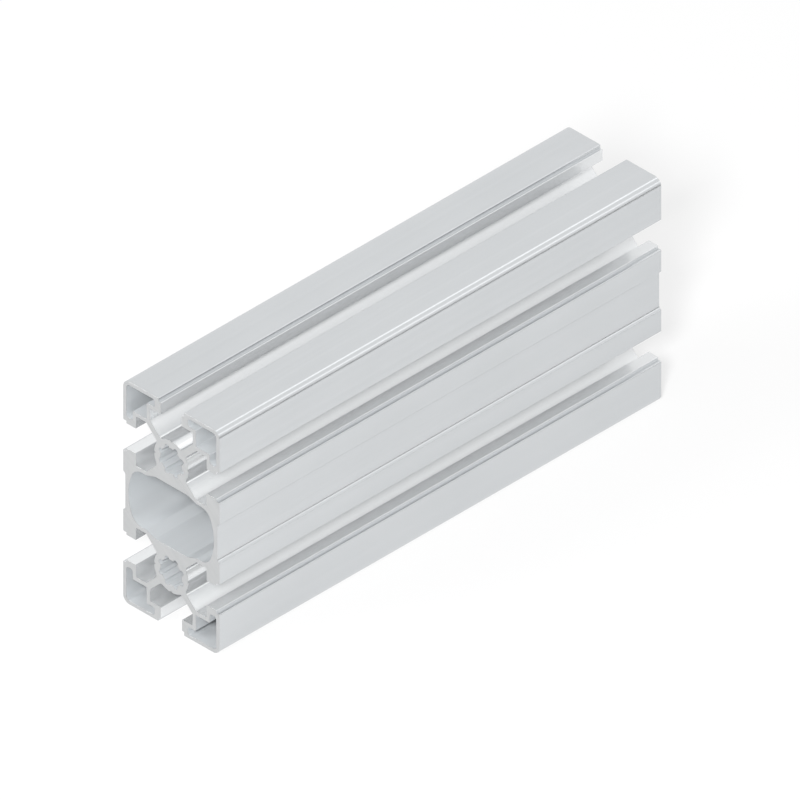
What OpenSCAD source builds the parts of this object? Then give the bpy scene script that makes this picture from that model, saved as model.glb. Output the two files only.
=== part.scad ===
// T-slot profile bar in aluminium: one extruded piece, standing on its narrow side.
// X is the width, Y the length and Z the height, in millimetres.
// The origin is the middle of the underside.

/* [Stock] */
// Length of the cut piece
length = 207.5; // [50:0.5:6000]
// Side of one square cell of the section's grid, which is also the width of the bar
cell = 45; // [40:0.5:60]
// Cells stacked on each other in the height
cells = 2; // [1:1:4]
// Radius of the four outer corners
corner_r = 3; // [2:0.1:4]

/* [Walls] */
// Outer wall, and the wall between a slot and the hollows beside it
wall = 1.5; // [1:0.1:2.4]
// Diagonal web between a core and the corner of its cell
web = 2.5; // [1.5:0.1:4]

/* [T-slot] */
// Width between the lips
mouth_w = 10; // [8:0.1:12]
// Step back from each lip to the wall of the rebate in the outer face
rebate_step = 1; // [0.5:0.1:2]
// Depth of that rebate
rebate_depth = 1.5; // [0.5:0.1:2.5]
// Depth of the lips, from the outer face to the undercut
lip_depth = 6; // [5:0.1:7]
// Width of the undercut, behind the lips
undercut_w = 20; // [17:0.1:24]
// Solid nose of a hollow lip, between its hollow and the mouth
lip_nose = 2.7; // [1.5:0.1:3.5]
// Depth of the square V-groove along the middle of the floor, where a drill is centred
centre_depth = 0.6; // [0.2:0.1:1]

/* [Core] */
// Outside radius of the core tube
core_r = 8; // [6.6:0.1:9.6]
// Diameter of the core bore, between the tips of its ribs
bore_d = 10; // [8:0.1:11]
// Grooves around the core bore
groove_count = 8; // [4:1:10]
// Radius of the round floor of one groove
groove_r = 1; // [0.6:0.05:1.3]
// Depth of the grooves behind the tips of the ribs
groove_depth = 1.15; // [0.6:0.05:1.3]

/* [Middle] */
// Width of the shallow recess in each side face, between the slots of two cells
recess_w = 15.5; // [8:0.5:20]
// Depth of that recess
recess_depth = 1; // [0.5:0.1:2]
// Height of the sloped edge on each side of the recess
recess_slope = 0.6; // [0.2:0.1:2]
// Fillet at the foot of that slope
recess_r = 1.5; // [0.5:0.1:2]
// Material between the core tube and the middle chamber
core_floor = 2; // [1:0.1:3]
// Width of the raised crown of the middle chamber
crown_w = 15; // [8:0.5:18]
// Radius where the ramps on each side of the crown begin and end
crown_r = 3; // [1:0.1:4]
// Corner radius of the middle chamber
chamber_r = 5; // [3:0.1:6]

/* [Edges] */
// Radius of the extruded edges
edge_r = 0.4; // [0.2:0.05:0.6]
// Radius of the lips' edges, along the mouth
lip_r = 0.2; // [0.1:0.05:0.6]
// Radius at the ends of a hollow's legs
leg_r = 1; // [0.4:0.1:1.3]
// Fillet between a web and the core tube
root_r = 1.5; // [0.5:0.1:2]

/* [Hidden] */
$fn = 96;
// Turn of one facet on an edge radius, and on a larger arc
edge_step = 22.5;
arc_step = 7.5;
// How far a cut runs past the outer face
past = 1;
half = cell / 2;
mouth = mouth_w / 2;
height = cell * cells;
rebate = mouth + rebate_step;
undercut = undercut_w / 2;
// Where the edge of a web meets the side wall of the undercut, above the core's axis
web_top = undercut + web / sqrt(2);
// The direction of the root fillet's centre, as seen from the core's axis
root_angle = 45 + asin((web / 2 + root_r) / (core_r + root_r));
// The foot of the V-groove above the core's axis, and the direction of its edge on the core tube
centre_foot = core_r - centre_depth;
centre_angle = acos((sqrt(2 * pow(core_r, 2) - pow(centre_foot, 2)) - centre_foot) / 2 / core_r);
// From the outer faces to a hollow corner's inner wall, and to the end of its legs in the lips
hollow_in = half - undercut - wall;
leg_end = half - mouth - lip_nose;
leg_in = lip_depth - wall;
// Half sizes of the middle chamber, about the point between two cells
chamber_end = half - recess_depth - wall;
shoulder = half - undercut - wall;
crown = half - core_r - core_floor;

function unit(v) = v / norm(v);
function flat(p) = [p.x, p.y];

// A path of corners [x, y, radius], mirrored in the Y axis and run backwards
function flipped(path) = [for (i = [len(path) - 1:-1:0]) [-path[i].x, path[i].y, path[i].z]];

// The same path, turned half round
function turned(path) = [for (p = path) [-p.x, -p.y, p.z]];

// Points along an arc about c, as corners of a path with no radius of their own
function arc(c, r, from, to) =
    let (steps = ceil(abs(to - from) / (r > 1 ? arc_step : edge_step)))
    [for (i = [0:steps]) let (a = from + (to - from) * i / steps) [c.x + r * cos(a), c.y + r * sin(a), 0]];

// The corner p of a path, rounded to radius r between its neighbours
function rounded(before, p, after, r) =
    let (u = unit(before - p), v = unit(after - p), half_angle = acos(u * v) / 2)
    let (c = p + unit(u + v) * r / sin(half_angle), reach = r / tan(half_angle))
    let (start = p + u * reach - c, end = p + v * reach - c)
    let (from = atan2(start.y, start.x), turn = atan2(end.y, end.x) - from)
    arc(c, r, from, from + turn - 360 * round(turn / 360));

// The outline through a path's corners, with each radius made
function eased(path) =
    let (n = len(path))
    [for (i = [0:n - 1])
        let (p = path[i], before = path[(i + n - 1) % n], after = path[(i + 1) % n])
        each p.z == 0 ? [flat(p)] : [for (q = rounded(flat(before), flat(p), flat(after), p.z)) flat(q)]];

// The bar's outline before anything is cut from it
module blank() {
    translate([-half + corner_r, 0])
        square([cell - 2 * corner_r, height]);
    translate([-half, corner_r])
        square([cell, height - 2 * corner_r]);
    for (x = [-1, 1], y = [corner_r, height - corner_r])
        translate([x * (half - corner_r), y])
            circle(corner_r);
}

// One T-slot about its core's axis, with the mouth towards +Y
module slot() {
    side = concat(
        [
            [rebate + edge_r, half + past, 0],
            [rebate + edge_r, half, 0],
            [rebate, half, edge_r],
            [rebate, half - rebate_depth, 0],
            [mouth, half - rebate_depth, lip_r],
            [mouth, half - lip_depth, lip_r],
            [undercut, half - lip_depth, edge_r],
            [undercut, web_top, edge_r],
        ],
        arc((core_r + root_r) * [cos(root_angle), sin(root_angle)], root_r, -45, root_angle - 180),
        arc([0, 0], core_r, root_angle, centre_angle)
    );
    polygon(eased(concat(side, [[0, centre_foot, 0]], flipped(side))));
}

// The hollow in one corner of the bar, with a leg into each of the two lips beside it.
// The radius at the ends of the legs leaves each of them a flat end.
module corner_hollow() {
    end_r = min(leg_r, (leg_in - wall - edge_r) / 2);
    polygon(eased([
        [wall, wall, corner_r - wall],
        [leg_end, wall, end_r],
        [leg_end, leg_in, end_r],
        [hollow_in, leg_in, edge_r],
        [hollow_in, hollow_in, edge_r],
        [leg_in, hollow_in, edge_r],
        [leg_in, leg_end, end_r],
        [wall, leg_end, end_r],
    ]));
}

// The core bore: round grooves leave ribs between them, which a self-tapping screw cuts into
module core_bore() {
    circle(d = bore_d);
    for (i = [0:groove_count - 1])
        rotate((i + 0.5) * 360 / groove_count)
            translate([bore_d / 2 + groove_depth - groove_r, 0])
                circle(groove_r);
}

// The hollow between two cells: its ends are arcs about its middle, and a crown rises towards each core.
// The ramps start where the webs do, and the corner radius leaves them room.
module middle_chamber() {
    ramp_angle = atan2(crown - shoulder, web_top - crown_w / 2);
    ramp_end = web_top + crown_r * tan(abs(ramp_angle) / 2);
    room = pow(chamber_end, 2) - pow(shoulder, 2) - pow(ramp_end, 2);
    fillet_r = min(chamber_r, room / (chamber_end - shoulder) / 2);
    corner_y = shoulder - fillet_r;
    corner_x = sqrt(pow(chamber_end - fillet_r, 2) - pow(corner_y, 2));
    corner_angle = atan2(corner_y, corner_x);
    quarter = concat(
        [
            [crown_w / 2, crown, crown_r],
            [web_top, shoulder, crown_r],
        ],
        arc([corner_x, corner_y], fillet_r, 90, corner_angle),
        arc([0, 0], chamber_end, corner_angle, 0)
    );
    upper = concat(flipped(quarter), quarter);
    polygon(eased(concat(upper, turned(upper))));
}

// The shallow recess in the right side face.
// The fillet at the foot of each slope leaves room for the slope's outer edge.
module side_recess() {
    slope_turn = atan2(recess_depth, recess_slope);
    slope_length = norm([recess_depth, recess_slope]);
    foot_r = min(recess_r, slope_length / tan(slope_turn / 2) - edge_r);
    side = [
        [recess_w / 2 + edge_r, half + past, 0],
        [recess_w / 2 + edge_r, half, 0],
        [recess_w / 2, half, edge_r],
        [recess_w / 2 - recess_slope, half - recess_depth, foot_r],
    ];
    rotate(-90)
        polygon(eased(concat(side, flipped(side))));
}

// The whole section, standing on y = 0
module section() {
    difference() {
        blank();
        for (i = [0:cells - 1])
            translate([0, half + i * cell]) {
                core_bore();
                for (turn = [90, -90])
                    rotate(turn)
                        slot();
            }
        translate([0, height - half])
            slot();
        translate([0, half])
            rotate(180)
                slot();
        for (x = [0, 1], y = [0, 1])
            translate([x ? half : -half, y ? height : 0])
                mirror([x, 0])
                    mirror([0, y])
                        corner_hollow();
        if (cells > 1)
            for (i = [1:cells - 1])
                translate([0, i * cell]) {
                    middle_chamber();
                    side_recess();
                    mirror([1, 0])
                        side_recess();
                }
    }
}

// The bar, extruded along Y
module extruded_profile() {
    color("silver")
        rotate([90, 0, 0])
            linear_extrude(height = length, center = true)
                section();
}

extruded_profile();
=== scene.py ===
# %% [markdown]
# # A sawn length of T-slot profile
#
# The object is one bar of extruded aluminium. A die gave it its section, a bath gave it its satin grey skin, and a saw
# cut it to length. So there is one shape to make, a section that runs straight from end to end, and three finishes: the
# skin, the bare walls of the hollows, and the sawn ends.
#
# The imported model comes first, as a fixed frame. The bar's section and length are read from it, in metres.

# %% The frame
import math

import bmesh
import bpy
from mathutils import Matrix, Vector


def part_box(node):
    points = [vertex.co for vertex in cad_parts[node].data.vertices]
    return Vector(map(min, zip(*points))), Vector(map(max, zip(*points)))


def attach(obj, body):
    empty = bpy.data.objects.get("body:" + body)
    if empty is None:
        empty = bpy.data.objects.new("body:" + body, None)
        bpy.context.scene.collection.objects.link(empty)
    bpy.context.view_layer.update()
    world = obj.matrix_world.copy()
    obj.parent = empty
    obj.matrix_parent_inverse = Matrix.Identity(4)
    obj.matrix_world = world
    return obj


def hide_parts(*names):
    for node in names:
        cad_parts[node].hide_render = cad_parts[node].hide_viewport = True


MM = 0.001
BAR = "extruded_profile"

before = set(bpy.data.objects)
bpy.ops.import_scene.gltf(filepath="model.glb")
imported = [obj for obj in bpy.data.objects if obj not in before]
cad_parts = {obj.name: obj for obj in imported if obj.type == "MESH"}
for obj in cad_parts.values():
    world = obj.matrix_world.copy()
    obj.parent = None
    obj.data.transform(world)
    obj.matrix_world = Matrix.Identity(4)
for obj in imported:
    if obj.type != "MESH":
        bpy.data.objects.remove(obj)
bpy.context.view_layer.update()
low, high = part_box(BAR)
size = high - low
print("bar:", " x ".join(f"{side / MM:.1f}" for side in size), "mm")

# %% [markdown]
# ## Building node trees
#
# Trees of nodes make the shape, the finishes, the floor and the sky of this scene. By hand each node takes a line for
# itself, one for each of its settings and one for each link. A small helper takes them all at once: the settings by
# name, and for each input either a value or the socket that feeds it.

# %% One node, one sum, one group
def add(tree, kind, inputs=None, **settings):
    """A new node with its settings made, and its inputs set to values or linked to sockets."""
    made = tree.nodes.new(kind)
    for name, value in settings.items():
        setattr(made, name, value)
    for key, value in (inputs or {}).items():
        if isinstance(value, bpy.types.NodeSocket):
            tree.links.new(value, made.inputs[key])
        else:
            made.inputs[key].default_value = value
    return made


def math_node(tree, operation, *values):
    """The result of one sum on numbers or sockets."""
    return add(tree, "ShaderNodeMath", dict(enumerate(values)), operation=operation).outputs[0]


def vector_node(tree, operation, *values):
    """The result of one sum on vectors or sockets."""
    return add(tree, "ShaderNodeVectorMath", dict(enumerate(values)), operation=operation).outputs[0]


def new_group(name, kind, inputs, outputs):
    """An empty node group with these sockets: its tree, its input and output nodes and its inputs' identifiers."""
    tree = bpy.data.node_groups.new(name, kind)
    identifiers = {}
    for label, socket in inputs.items():
        made = tree.interface.new_socket(label, in_out="INPUT", socket_type=socket)
        identifiers[label] = made.identifier
    for label, socket in outputs.items():
        tree.interface.new_socket(label, in_out="OUTPUT", socket_type=socket)
    return tree, add(tree, "NodeGroupInput"), add(tree, "NodeGroupOutput"), identifiers


# %% [markdown]
# ## Lines that a tool leaves
#
# All three finishes carry fine lines. The die draws its own along the bar, inside and out, and the saw leaves arcs
# across the ends. They could be painted, or cut as geometry, but they are about a hundredth of a millimetre deep at
# most. Noise that is stretched along the line gives the right thing: no two lines are alike, and none stops short.
#
# One group serves the three finishes. It is told where a point lies across the lines and how far apart they are, and it
# puts out a fine height for the bump and a broader tone for colour and gloss.

# %% Tool lines, a group that every finish uses
LINE_DETAIL = 3
LINE_ROUGHNESS = 0.6


def tool_lines_group():
    sockets = {"Position": "NodeSocketVector", "Spacing": "NodeSocketFloat", "Band": "NodeSocketFloat"}
    results = {"Height": "NodeSocketFloat", "Tone": "NodeSocketFloat"}
    tree, given, result, _ = new_group("Tool lines", "ShaderNodeTree", sockets, results)
    for width, output in (("Spacing", "Height"), ("Band", "Tone")):
        scale = math_node(tree, "DIVIDE", 1, given.outputs[width])
        noise = add(tree, "ShaderNodeTexNoise", {"Vector": given.outputs["Position"], "Scale": scale,
                                                 "Detail": LINE_DETAIL, "Roughness": LINE_ROUGHNESS})
        tree.links.new(noise.outputs["Fac"], result.inputs[output])
    return tree


tool_lines = tool_lines_group()
print("group:", tool_lines.name, [item.name for item in tool_lines.interface.items_tree])

# %% [markdown]
# ## Uneven gloss
#
# No large metal face is equally bright all over. The bath etches a little more here and there, and hands and dust dull
# what they touch. That is a slow change over some centimetres, so a second group is a plain cloud of that size.

# %% Clouds, the other shared group
CLOUD_DETAIL = 4
CLOUD_ROUGHNESS = 0.55


def own_place(tree):
    """Where a point lies, in the object's own coordinates."""
    return add(tree, "ShaderNodeTexCoord").outputs["Object"]


def clouds_group():
    tree, given, result, _ = new_group("Clouds", "ShaderNodeTree", {"Size": "NodeSocketFloat"},
                                       {"Cloud": "NodeSocketFloat"})
    scale = math_node(tree, "DIVIDE", 1, given.outputs["Size"])
    noise = add(tree, "ShaderNodeTexNoise", {"Vector": own_place(tree), "Scale": scale, "Detail": CLOUD_DETAIL,
                                             "Roughness": CLOUD_ROUGHNESS})
    tree.links.new(noise.outputs["Fac"], result.inputs["Cloud"])
    return tree


clouds = clouds_group()
print("group:", clouds.name, [item.name for item in clouds.interface.items_tree])

# %% [markdown]
# ## What the finishes share
#
# Each finish is made of the same parts: a colour between two greys, a gloss between two values, and a bump from the
# lines. The groups give noise that keeps near its middle, so it is spread out first. On the skin and the sawn ends,
# tone and gloss both take something from the lines and something from the cloud.

# %% Helpers for a finish
NOISE_LOW = 0.3
NOISE_HIGH = 0.7
CLOUD_DULLER = 0.01


def shaded(name):
    """A new material, its tree and its main shader."""
    material = bpy.data.materials.new(name)
    material.use_nodes = True
    return material, material.node_tree, material.node_tree.nodes["Principled BSDF"]


def spread(tree, value, least, most, start=NOISE_LOW, end=NOISE_HIGH):
    """A value, spread out from its own range to the one between two numbers or sockets."""
    ranged = add(tree, "ShaderNodeMapRange", {"Value": value, "From Min": start, "From Max": end,
                                              "To Min": least, "To Max": most})
    return ranged.outputs["Result"]


def tint(tree, factor, first, second):
    """A colour between two greys, each given as a colour or as the socket of another tint."""
    ends = {name: end if isinstance(end, bpy.types.NodeSocket) else (*end, 1)
            for name, end in (("A", first), ("B", second))}
    return add(tree, "ShaderNodeMix", {"Factor": factor, **ends}, data_type="RGBA").outputs["Result"]


def toned(tree, band, cloud, line_share):
    """A tone from the lines and the cloud, of which the lines have this share."""
    return math_node(tree, "ADD", spread(tree, band, 0, line_share), spread(tree, cloud, 0, 1 - line_share))


def dulled(tree, height, cloud, roughness):
    """A roughness that follows the lines between two values, and rises a little with the cloud."""
    return math_node(tree, "ADD", spread(tree, height, *roughness), spread(tree, cloud, 0, CLOUD_DULLER))


def group_node(tree, group, **values):
    """A shared group, placed in a material with its own values."""
    return add(tree, "ShaderNodeGroup", values, node_tree=group)


def bumped(tree, shader, height, depth):
    """Gives a shader the relief of a height map of this depth."""
    bump = add(tree, "ShaderNodeBump", {"Height": height, "Distance": depth})
    tree.links.new(bump.outputs["Normal"], shader.inputs["Normal"])


print("noise is spread out from", NOISE_LOW, "to", NOISE_HIGH)

# %% [markdown]
# ## The anodised skin
#
# The skin is natural anodised aluminium: metal under a clear, hard layer of its own oxide, which takes the mirror off
# it. It has no colour of its own beyond a cool grey, and its look is its gloss: satin, with the die's lines along it.
#
# Inside the slots the colour is painted paler: painted fill light, which makes up for the light that falls short
# in them. The metal there is also less metallic and a little rougher. No edge parts the slots from the outer faces,
# so one material blends the two by depth: how far a point lies behind the nearest outer face of the bar.

# %% The anodised skin
SKIN_DARK = (0.602, 0.620, 0.634)
SKIN_LIGHT = (0.646, 0.663, 0.678)
# Slot greys: a paler colour painted in as fill light inside the slots, not a finish of the metal
SLOT_PAINTED_FILL_DARK = (0.735, 0.748, 0.757)
SLOT_PAINTED_FILL_LIGHT = (0.755, 0.768, 0.777)
SKIN_METAL = 0.96
SLOT_METAL = 0.74
SKIN_ROUGHNESS = (0.21, 0.23)
SLOT_DULLER = 0.01
SKIN_CLOUD = 40 * MM
SKIN_LINE_SHARE = 0.5
SLOT_BLEND_DEPTH = (1.1 * MM, 1.7 * MM)
DIE_LINE = 0.5 * MM
DIE_BAND = 4 * MM
DIE_DEPTH = 0.4e-6
ALONG_THE_BAR = (1, 0.003, 1)


def die_lines(tree, place):
    """The die's lines: noise that is drawn out along the bar."""
    stretched = vector_node(tree, "MULTIPLY", place, ALONG_THE_BAR)
    return group_node(tree, tool_lines, Position=stretched, Spacing=DIE_LINE, Band=DIE_BAND).outputs


def slot_depth_share(tree, place):
    """Depth into a slot, from 0 on the outer faces to 1 deeper in, where the colour is painted paler as fill light."""
    across, _, up = add(tree, "ShaderNodeSeparateXYZ", {"Vector": place}).outputs
    from_side = math_node(tree, "SUBTRACT", size.x / 2, math_node(tree, "ABSOLUTE", across))
    from_top = math_node(tree, "SUBTRACT", size.z, up)
    depth = math_node(tree, "MINIMUM", from_side, math_node(tree, "MINIMUM", up, from_top))
    return spread(tree, depth, 0, 1, *SLOT_BLEND_DEPTH)


def skin_material():
    material, tree, shader = shaded("anodised_skin")
    place = own_place(tree)
    height, band = die_lines(tree, place)
    cloud = group_node(tree, clouds, Size=SKIN_CLOUD).outputs["Cloud"]
    inner = slot_depth_share(tree, place)
    tone = toned(tree, band, cloud, SKIN_LINE_SHARE)
    # Inside the slots the paler colour is painted fill light
    colour = tint(tree, inner, tint(tree, tone, SKIN_DARK, SKIN_LIGHT), tint(tree, tone, SLOT_PAINTED_FILL_DARK, SLOT_PAINTED_FILL_LIGHT))
    tree.links.new(colour, shader.inputs["Base Color"])
    tree.links.new(spread(tree, inner, SKIN_METAL, SLOT_METAL, 0, 1), shader.inputs["Metallic"])
    gloss = math_node(tree, "MULTIPLY_ADD", inner, SLOT_DULLER, dulled(tree, height, cloud, SKIN_ROUGHNESS))
    tree.links.new(gloss, shader.inputs["Roughness"])
    bumped(tree, shader, height, DIE_DEPTH)
    return material


skin = skin_material()
print("finish:", skin.name, len(skin.node_tree.nodes), "nodes")

# %% [markdown]
# ## The bare walls of the hollows
#
# The bath's current hardly reaches into a long hollow, so the walls of the corners, the core bores and the middle
# chamber stay as the die left them: bare metal under a thin dull oxide, a cooler and darker grey than the skin, with
# the same lines along the bar. A mirror finish would turn each hollow into a hall of mirrors. The real one scatters
# light widely, so the shader is mostly matt, with a little metal in it.

# %% The bare walls
BARE_DARK = (0.54, 0.562, 0.578)
BARE_LIGHT = (0.56, 0.582, 0.598)
BARE_METAL = 0.3
BARE_ROUGHNESS = (0.30, 0.33)


def bare_material():
    material, tree, shader = shaded("bare_aluminium")
    height, band = die_lines(tree, own_place(tree))
    tree.links.new(tint(tree, spread(tree, band, 0, 1), BARE_DARK, BARE_LIGHT), shader.inputs["Base Color"])
    shader.inputs["Metallic"].default_value = BARE_METAL
    tree.links.new(spread(tree, height, *BARE_ROUGHNESS), shader.inputs["Roughness"])
    bumped(tree, shader, height, DIE_DEPTH)
    return material


bare = bare_material()
print("finish:", bare.name, len(bare.node_tree.nodes), "nodes")

# %% [markdown]
# ## The sawn ends
#
# A circular saw cut the bar after it was anodised, so its ends are bare metal, darker and rougher than the skin. The
# blade leaves shallow arcs about its own middle, which lies off to one side and below the bar. The distance from that
# middle is all that the group of lines needs, and every arc comes out of it by itself.

# %% The sawn ends
SAWN_DARK = (0.512, 0.522, 0.527)
SAWN_LIGHT = (0.582, 0.589, 0.593)
SAWN_METAL = 0.95
SAWN_ROUGHNESS = (0.26, 0.36)
SAWN_CLOUD = 15 * MM
SAWN_LINE_SHARE = 0.6
BLADE_MIDDLE = Vector((-95 * MM, 0, -70 * MM))
SAW_LINE = 0.6 * MM
SAW_BAND = 3 * MM
SAW_DEPTH = 12e-6
IN_THE_CUT = (1, 0, 1)


def saw_lines(tree, place):
    """The saw's arcs: lines across the distance from the blade's middle."""
    from_blade = vector_node(tree, "SUBTRACT", place, BLADE_MIDDLE)
    in_plane = vector_node(tree, "MULTIPLY", from_blade, IN_THE_CUT)
    radius = add(tree, "ShaderNodeVectorMath", {0: in_plane}, operation="LENGTH").outputs["Value"]
    across = add(tree, "ShaderNodeCombineXYZ", {"X": radius}).outputs["Vector"]
    return group_node(tree, tool_lines, Position=across, Spacing=SAW_LINE, Band=SAW_BAND).outputs


def sawn_material():
    material, tree, shader = shaded("sawn_aluminium")
    height, band = saw_lines(tree, own_place(tree))
    cloud = group_node(tree, clouds, Size=SAWN_CLOUD).outputs["Cloud"]
    tone = toned(tree, band, cloud, SAWN_LINE_SHARE)
    tree.links.new(tint(tree, tone, SAWN_DARK, SAWN_LIGHT), shader.inputs["Base Color"])
    shader.inputs["Metallic"].default_value = SAWN_METAL
    tree.links.new(dulled(tree, height, cloud, SAWN_ROUGHNESS), shader.inputs["Roughness"])
    bumped(tree, shader, height, SAW_DEPTH)
    return material


sawn = sawn_material()
print("finish:", sawn.name, len(sawn.node_tree.nodes), "nodes")

# %% [markdown]
# ## The section
#
# All there is to an extruded bar is in its section: slots, hollow corners, core bores and the chamber between them.
# The frame holds the bar as loose triangles, so a copy has its doubles merged first. Then the edges between the front
# end and the long walls are the outline: one loop around the bar, and one around each hollow.

# %% The outline of the front end
MERGED = 1e-6
FACING_FRONT = -0.9

solid = bmesh.new()
solid.from_mesh(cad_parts[BAR].data)
bmesh.ops.remove_doubles(solid, verts=solid.verts, dist=MERGED)
front = {face for face in solid.faces if face.normal.y < FACING_FRONT}
rim = [edge for edge in solid.edges if len(front.intersection(edge.link_faces)) == 1]
print("outline:", len(rim), "edges")

# %% [markdown]
# Each point of the outline keeps the way into the metal. It is the mitre of the two edges that meet there, so that a
# step along it moves both edges by the same amount, as in the corner of a picture frame. Beside a sharp corner a short
# edge would be used up by that step and turn over, so such an edge moves as a whole.

# %% The way into the metal
EDGE_ROUND = 0.13 * MM


def into_metal(edge):
    """The direction square to a rim edge that points from it into the metal."""
    start, end = (corner.co for corner in edge.verts)
    across = (end - start).cross(Vector((0, 1, 0))).normalized()
    face = next(iter(front.intersection(edge.link_faces)))
    return across if across.dot(face.calc_center_median() - start) > 0 else -across


def mitres():
    """For each point of the rim, the step that moves both its edges into the metal by the same amount."""
    sides = {}
    for edge in rim:
        for corner in edge.verts:
            sides.setdefault(corner, []).append(into_metal(edge))
    steps = {corner: (one + other) / (1 + one.dot(other)) for corner, (one, other) in sides.items()}
    for edge in rim:
        start, end = edge.verts
        along = end.co - start.co
        if along.dot(along + EDGE_ROUND * (steps[end] - steps[start])) < 0:
            steps[start] = steps[end] = (steps[start] + steps[end]) / 2
    return steps


inward_steps = mitres()
print("longest mitre:", f"{max(step.length for step in inward_steps.values()):.2f}", "times the step")

# %% [markdown]
# The outline becomes a mesh of bare edges. Its points carry two attributes for the tree that follows: the way into the
# metal, and whether they lie on a hollow. The loop through the point that is furthest to the left is the outside, and
# every other loop is a hollow.

# %% The section as a mesh of edges
def outside_loop():
    """The points of the loop around the whole bar."""
    neighbours = {}
    for edge in rim:
        for corner in edge.verts:
            neighbours.setdefault(corner, []).append(edge.other_vert(corner))
    start = min(neighbours, key=lambda corner: corner.co.x)
    loop, waiting = {start}, [start]
    while waiting:
        fresh = [corner for corner in neighbours[waiting.pop()] if corner not in loop]
        loop.update(fresh)
        waiting.extend(fresh)
    return loop


def section_mesh():
    """The outline as a mesh of edges, with X and Z of the bar as its X and Y."""
    order = {corner: number for number, corner in enumerate(inward_steps)}
    mesh = bpy.data.meshes.new("section")
    mesh.from_pydata([(corner.co.x, corner.co.z, 0) for corner in order],
                     [[order[corner] for corner in edge.verts] for edge in rim], [])
    inward = mesh.attributes.new("inward", "FLOAT_VECTOR", "POINT")
    hollow = mesh.attributes.new("hollow", "BOOLEAN", "POINT")
    outside = outside_loop()
    for corner, step in inward_steps.items():
        inward.data[order[corner]].vector = (step.x, step.z, 0)
        hollow.data[order[corner]].value = corner not in outside
    return mesh


section = section_mesh()
solid.free()
on_hollows = sum(point.value for point in section.attributes["hollow"].data)
print("section:", len(section.vertices), "points,", on_hollows, "of them on hollows")

# %% [markdown]
# ## The bar
#
# A bar follows a rule: the section, moved along a line. The saw's burr is taken off with a file, so each end has a tiny
# round all the way about its edges, and that round is what catches the light in front. A Bevel modifier would try to
# round the walls' own edges too. Geometry Nodes can do what the tools did: draw the section as a row of rings, each at
# its own depth and set back by its own inset, and close the two outer rings with flat ends.
#
# The rings come first. Each is a place for every point of the outline: its own place in the section, a step into the
# metal and a height along the bar.

# %% Where the rings lie
ROUND_STEPS = 3


def round_shares():
    """For each ring of a round edge, how far it is set in and back, as shares of the radius."""
    turns = [math.pi / 2 * step / ROUND_STEPS for step in range(ROUND_STEPS + 1)]
    return [(1 - math.sin(turn), 1 - math.cos(turn)) for turn in turns]


def named(tree, name, kind="FLOAT_VECTOR"):
    """An attribute of the geometry, by its name."""
    return add(tree, "GeometryNodeInputNamedAttribute", {"Name": name}, data_type=kind).outputs["Attribute"]


def along_bar(tree, distance):
    """A step along the bar, which stands upright until it is laid down."""
    return add(tree, "ShaderNodeCombineXYZ", {"Z": distance}).outputs["Vector"]


def ring_place(tree, half, radius, share, end):
    """Where the outline's points lie on one ring, near the end at -1 or +1."""
    inset, depth = (math_node(tree, "MULTIPLY", radius, part) for part in share)
    step = add(tree, "ShaderNodeVectorMath", {0: named(tree, "inward"), "Scale": inset}, operation="SCALE").outputs[0]
    back = math_node(tree, "SUBTRACT", half, depth)
    flat = vector_node(tree, "ADD", named(tree, "outline"), step)
    return vector_node(tree, "ADD", flat, along_bar(tree, math_node(tree, "MULTIPLY", back, end)))


print("rings at each end:", len(round_shares()))

# %% [markdown]
# Then the walls. Extruding the newest edges and moving them to the next ring draws one band of wall after another.
# Edges know no inside, so each face is turned afterwards to look away from the metal.

# %% The walls
def placed(tree, geometry, **inputs):
    """A geometry with its points set to new places."""
    return add(tree, "GeometryNodeSetPosition", {"Geometry": geometry, **inputs}).outputs["Geometry"]


def over(tree, value, limit):
    """Whether a value is greater than a limit."""
    return add(tree, "FunctionNodeCompare", {0: value, 1: limit}, data_type="FLOAT",
               operation="GREATER_THAN").outputs["Result"]


def walls_through(tree, first, rings):
    """Walls from the first ring through the places of all the others, facing away from the metal."""
    walls, newest = first, True
    for ring in rings:
        drawn = add(tree, "GeometryNodeExtrudeMesh", {"Mesh": walls, "Selection": newest, "Offset Scale": 0},
                    mode="EDGES")
        newest = drawn.outputs["Top"]
        walls = placed(tree, drawn.outputs["Mesh"], Selection=newest, Position=ring)
    normal = add(tree, "GeometryNodeInputNormal").outputs["Normal"]
    facing = add(tree, "ShaderNodeVectorMath", {0: normal, 1: named(tree, "inward")}, operation="DOT_PRODUCT")
    inside_out = over(tree, facing.outputs["Value"], 0)
    return add(tree, "GeometryNodeFlipFaces", {"Mesh": walls, "Selection": inside_out}).outputs["Mesh"]


print("bands of wall:", 2 * len(round_shares()) - 1)

# %% [markdown]
# The ends are the first ring, filled. The loops become curves, because filling curves knows that a loop inside another
# is a hole. One copy goes to each end, and the front one is turned over.

# %% The flat ends
def flat_ends(tree, first, half):
    """The two flat faces that close the bar."""
    loops = add(tree, "GeometryNodeMeshToCurve", {"Mesh": first}).outputs["Curve"]
    flat = add(tree, "GeometryNodeFillCurve", {"Curve": loops}, mode="TRIANGLES").outputs["Mesh"]
    turned = add(tree, "GeometryNodeFlipFaces", {"Mesh": flat}).outputs["Mesh"]
    rear = placed(tree, flat, Offset=along_bar(tree, half))
    fore = placed(tree, turned, Offset=along_bar(tree, math_node(tree, "MULTIPLY", half, -1)))
    return rear, fore


print("ends:", f"{size.y / 2 / MM:.2f}", "mm from the middle")

# %% [markdown]
# Last come the shading and the finishes. Edges over a certain angle stay sharp, and all others are shaded smooth. The
# skin goes on everything, the bare finish on the hollows, and the sawn finish on what lies beyond the long walls.

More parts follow.
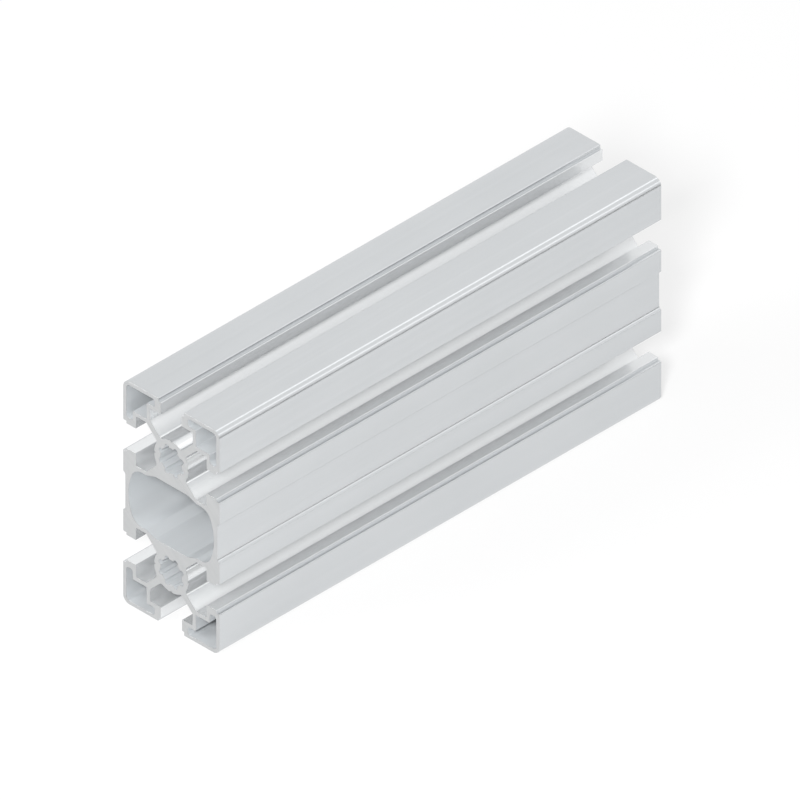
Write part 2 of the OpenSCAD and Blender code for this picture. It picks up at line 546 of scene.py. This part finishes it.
# %% Edges and finishes
def creased(tree, geometry, angle):
    """Smooth shading, broken at the edges that are over an angle."""
    smooth = add(tree, "GeometryNodeSetShadeSmooth", {"Geometry": geometry, "Shade Smooth": True}, domain="FACE")
    turn = add(tree, "GeometryNodeInputMeshEdgeAngle").outputs["Unsigned Angle"]
    broken = add(tree, "GeometryNodeSetShadeSmooth",
                 {"Geometry": smooth.outputs[0], "Selection": over(tree, turn, angle), "Shade Smooth": False},
                 domain="EDGE")
    return broken.outputs["Geometry"]


def in_finish(tree, geometry, finish, **selection):
    """A geometry with a finish on all of it, or on a selection."""
    return add(tree, "GeometryNodeSetMaterial",
               {"Geometry": geometry, "Material": finish, **selection}).outputs["Geometry"]


def finished(tree, geometry, given, walls_end):
    """The bar in its three finishes."""
    along = add(tree, "ShaderNodeSeparateXYZ", {0: add(tree, "GeometryNodeInputPosition").outputs[0]}).outputs["Y"]
    at_end = over(tree, math_node(tree, "ABSOLUTE", along), walls_end)
    geometry = in_finish(tree, geometry, given["Skin"])
    geometry = in_finish(tree, geometry, given["Bare"], Selection=named(tree, "hollow", "BOOLEAN"))
    return in_finish(tree, geometry, given["Sawn"], Selection=at_end)


print("finishes:", skin.name, bare.name, sawn.name)

# %% [markdown]
# The tree sets these steps in a row. The bar is drawn upright, as its section lies flat, and is laid down along Y once
# it is closed.

# %% The tree for a sawn bar
LAID_DOWN = (math.pi / 2, 0, 0)


def sawn_bar_tree():
    """The tree that makes the bar from its section, and the identifiers of its inputs."""
    sockets = {"Section": "NodeSocketGeometry", "Length": "NodeSocketFloat", "Edge Round": "NodeSocketFloat",
               "Smooth Angle": "NodeSocketFloat", "Skin": "NodeSocketMaterial", "Bare": "NodeSocketMaterial",
               "Sawn": "NodeSocketMaterial"}
    tree, inputs, result, identifiers = new_group("Sawn bar", "GeometryNodeTree", sockets,
                                                  {"Bar": "NodeSocketGeometry"})
    given = inputs.outputs
    half = math_node(tree, "DIVIDE", given["Length"], 2)
    radius = given["Edge Round"]
    fore = [ring_place(tree, half, radius, share, -1) for share in round_shares()]
    rear = [ring_place(tree, half, radius, share, 1) for share in reversed(round_shares())]

    place = add(tree, "GeometryNodeInputPosition").outputs["Position"]
    kept = add(tree, "GeometryNodeStoreNamedAttribute",
               {"Geometry": given["Section"], "Name": "outline", "Value": place}, data_type="FLOAT_VECTOR")
    first = placed(tree, kept.outputs["Geometry"], Position=fore[0])
    joined = add(tree, "GeometryNodeJoinGeometry")
    for part in (walls_through(tree, first, fore[1:] + rear), *flat_ends(tree, first, half)):
        tree.links.new(part, joined.inputs["Geometry"])
    closed = add(tree, "GeometryNodeMergeByDistance", {"Geometry": joined.outputs["Geometry"], "Distance": MERGED})
    laid = add(tree, "GeometryNodeTransform",
               {"Geometry": closed.outputs["Geometry"], "Rotation": LAID_DOWN}).outputs["Geometry"]

    real = add(tree, "GeometryNodeRealizeInstances", {"Geometry": creased(tree, laid, given["Smooth Angle"])})
    bar_geometry = finished(tree, real.outputs["Geometry"], given, math_node(tree, "SUBTRACT", half, radius))
    tree.links.new(bar_geometry, result.inputs["Bar"])
    return tree, identifiers


bar_tree, bar_inputs = sawn_bar_tree()
print("tree:", bar_tree.name, len(bar_tree.nodes), "nodes")

# %% [markdown]
# The tree's inputs are set by their identifiers before anything is evaluated. A weighted normal then keeps the wide
# faces flat right up to their rounded edges. The result becomes a plain mesh, without the attributes and the empty
# material slot that the making left on it.

# %% The bar's mesh
SMOOTH_ANGLE = math.radians(40)
FLAT_WEIGHT = 90


def in_scene(name, data):
    """A new object of the scene."""
    made = bpy.data.objects.new(name, data)
    bpy.context.scene.collection.objects.link(made)
    return made


def bar_mesh():
    """What the tree makes of the section, as a plain mesh."""
    carrier = in_scene("carrier", section)
    made = carrier.modifiers.new("Sawn bar", "NODES")
    made.node_group = bar_tree
    values = {"Length": size.y, "Edge Round": EDGE_ROUND, "Smooth Angle": SMOOTH_ANGLE,
              "Skin": skin, "Bare": bare, "Sawn": sawn}
    for label, value in values.items():
        made[bar_inputs[label]] = value
    weighted = carrier.modifiers.new("Flat faces stay flat", "WEIGHTED_NORMAL")
    weighted.keep_sharp = True
    weighted.weight = FLAT_WEIGHT
    depsgraph = bpy.context.evaluated_depsgraph_get()
    mesh = bpy.data.meshes.new_from_object(carrier.evaluated_get(depsgraph), depsgraph=depsgraph)
    bpy.data.objects.remove(carrier)
    return mesh


def bar_piece():
    """The bar, without what its making left on the mesh."""
    mesh = bar_mesh()
    mesh.name = "profile_bar"
    for name in ("inward", "outline", "hollow"):
        mesh.attributes.remove(mesh.attributes[name])
    for number in [number for number, finish in enumerate(mesh.materials) if finish is None]:
        mesh.materials.pop(index=number)
    return in_scene("profile_bar", mesh)


bar = bar_piece()
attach(bar, "root")
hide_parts(BAR)
print("bar:", len(bar.data.polygons), "faces,", [finish.name for finish in bar.data.materials])

# %% [markdown]
# ## Floor and sky
#
# Metal shows what stands around it, so the surroundings are half of its look. Here they are a white room. The camera,
# and the metal as it mirrors, see a white sky and a floor that has part of its light from itself, which keeps it white
# while the rest still takes the bar's shadow. On matt surfaces the sky casts only about a third of that light. The
# lamps below add the rest, and as they come from one side, they show the shape of a hollow, which light from everywhere
# hides.

# %% Floor and sky
FLOOR_SIDE = 6
FLOOR_COLOUR = (0.8, 0.8, 0.8, 1)
WHITE = (1, 1, 1, 1)
OWN_LIGHT = 0.75
SKY_FILL = 0.35


def seen(tree):
    """1 for the rays of the camera, of mirrors and of glass, and 0 for the light that falls on matt surfaces."""
    path = add(tree, "ShaderNodeLightPath").outputs
    mirrored = math_node(tree, "MAXIMUM", path["Is Glossy Ray"], path["Is Transmission Ray"])
    return math_node(tree, "MAXIMUM", path["Is Camera Ray"], mirrored)


def floor_material():
    material, tree, _ = shaded("pale_floor")
    tree.nodes.clear()
    share = math_node(tree, "MULTIPLY", seen(tree), OWN_LIGHT)
    matt = add(tree, "ShaderNodeBsdfDiffuse", {"Color": FLOOR_COLOUR}).outputs["BSDF"]
    white = add(tree, "ShaderNodeEmission", {"Color": WHITE, "Strength": 1}).outputs["Emission"]
    both = add(tree, "ShaderNodeMixShader", {0: share, 1: matt, 2: white}).outputs["Shader"]
    add(tree, "ShaderNodeOutputMaterial", {"Surface": both})
    return material


def stage_sheet(name, corners, material):
    """A plain sheet of the stage through four corners."""
    mesh = bpy.data.meshes.new(name)
    mesh.from_pydata(corners, [], [(0, 1, 2, 3)])
    mesh.materials.append(material)
    made = in_scene(name, mesh)
    return made


reach = FLOOR_SIDE / 2
stage_sheet("floor", [(x * reach, y * reach, low.z) for x, y in ((-1, -1), (1, -1), (1, 1), (-1, 1))],
            floor_material())
world = bpy.data.worlds.new("white_room")
world.use_nodes = True
sky = world.node_tree.nodes["Background"]
sky.inputs["Color"].default_value = WHITE
world.node_tree.links.new(spread(world.node_tree, seen(world.node_tree), SKY_FILL, 1, 0, 1), sky.inputs["Strength"])
bpy.context.scene.world = world
print("floor side:", FLOOR_SIDE, "m")

# %% [markdown]
# ## Softboxes
#
# A white room alone would leave the rounded edges without a glint and the hollows dark. Two strips that run along the
# bar behind it give the two bright lines on its upper edge, and a small box to the left gives the glint along the sawn
# end. A box in front lights the floors of the hollows. The main lamp stands far behind the camera and a little to its
# left, so that it shines into every hollow that the camera looks into, and its shadows fall where they hardly show.
#
# Satin metal would mirror those last two as wide white patches, seen from behind. So they cast light, but the metal
# doesn't mirror them. Each lamp is given the brightness that its face shows, where 1 is white, and its power follows
# from its size.

# %% Softboxes
middle = (low + high) / 2


def axes_at(place, side, up, back):
    """The placing of a lamp or a camera by its axes, of which the last points away from what it looks at."""
    return Matrix.Translation(place) @ Matrix((side, up, back)).transposed().to_4x4()


def softbox(name, direction, distance, width, along, brightness, mirrored=True):
    """A lamp that faces the bar from a direction, with its second side along the bar."""
    light = bpy.data.lights.new(name, "AREA")
    light.shape = "RECTANGLE"
    light.size = width
    light.size_y = along
    light.energy = brightness * math.pi * width * along
    lamp = in_scene(name, light)
    back = Vector(direction).normalized()
    side = Vector((0, 1, 0)).cross(back).normalized()
    lamp.matrix_world = axes_at(middle + back * distance, side, back.cross(side), back)
    lamp.visible_camera = False
    lamp.visible_glossy = mirrored


softbox("strip_above", (0.03, 0.58, 0.81), distance=1.2, width=0.2, along=0.9, brightness=0.85)
softbox("strip_right", (0.69, 0.58, 0.43), distance=1.2, width=0.2, along=0.9, brightness=0.6)
softbox("glint_left", (-0.58, -0.58, 0.58), distance=1.4, width=0.25, along=0.25, brightness=10)
softbox("box_front", (-0.35, -0.75, 0.56), distance=1.4, width=0.5, along=0.5, brightness=9, mirrored=False)
softbox("lamp_by_camera", (0.50, -0.64, 0.585), distance=4, width=0.6, along=0.6, brightness=190, mirrored=False)

# %% [markdown]
# ## A grey card
#
# Under its two bright lines the upper edge has a dark one. In a studio that is a grey card, which stands beside the
# object for the metal to mirror. It is low, so in the camera's view only the rounded edges mirror it and the flat faces
# don't. The camera itself doesn't see it, and it casts no shadow.

# %% The grey card
CARD_GREY = (0.52, 0.52, 0.52, 1)
CARD_DISTANCE = 0.22
CARD_HEIGHT = 0.075
CARD_LENGTH = 1.2


def card_material():
    material, _, shader = shaded("grey_card")
    shader.inputs["Base Color"].default_value = CARD_GREY
    shader.inputs["Roughness"].default_value = 1
    return material


card_end = CARD_LENGTH / 2
card_top = low.z + CARD_HEIGHT
card = stage_sheet("grey_card", [(CARD_DISTANCE, -card_end, low.z), (CARD_DISTANCE, card_end, low.z),
                                 (CARD_DISTANCE, card_end, card_top), (CARD_DISTANCE, -card_end, card_top)],
                   card_material())
card.visible_camera = False
card.visible_diffuse = False
card.visible_shadow = False
print("card:", CARD_HEIGHT, "m high,", CARD_DISTANCE, "m away")

# %% [markdown]
# ## The camera
#
# The picture is a parallel view, close to the one down the diagonal of a cube. So the camera is orthographic, and equal
# lengths along the bar stay equal. Its scale is a number of pixels for each millimetre, and its place is set by one
# landmark: the upper left corner of the front end, where the two flats would meet.

# %% The camera
PICTURE = 800
PIXELS_PER_MM = 3.019
CORNER_PIXEL = Vector((123.0, 378.2))
AZIMUTH = math.radians(44.9)
ELEVATION = math.radians(34.9)
CAMERA_DISTANCE = 2
FAR = 20


def camera_object():
    back = Vector((math.sin(AZIMUTH) * math.cos(ELEVATION), -math.cos(AZIMUTH) * math.cos(ELEVATION),
                   math.sin(ELEVATION)))
    right = Vector((math.cos(AZIMUTH), math.sin(AZIMUTH), 0))
    up = back.cross(right)
    pixel = MM / PIXELS_PER_MM
    corner = Vector((low.x, low.y, high.z))
    to_middle = Vector((PICTURE / 2, PICTURE / 2)) - CORNER_PIXEL
    aim = corner + right * to_middle.x * pixel - up * to_middle.y * pixel
    data = bpy.data.cameras.new("camera")
    data.type = "ORTHO"
    data.ortho_scale = PICTURE * pixel
    data.clip_end = FAR
    made = in_scene("camera", data)
    made.matrix_world = axes_at(aim + back * CAMERA_DISTANCE, right, up, back)
    return made


bpy.context.scene.camera = camera_object()
bpy.context.scene.view_settings.view_transform = "Standard"
print("camera scale:", f"{bpy.context.scene.camera.data.ortho_scale:.4f}", "m")
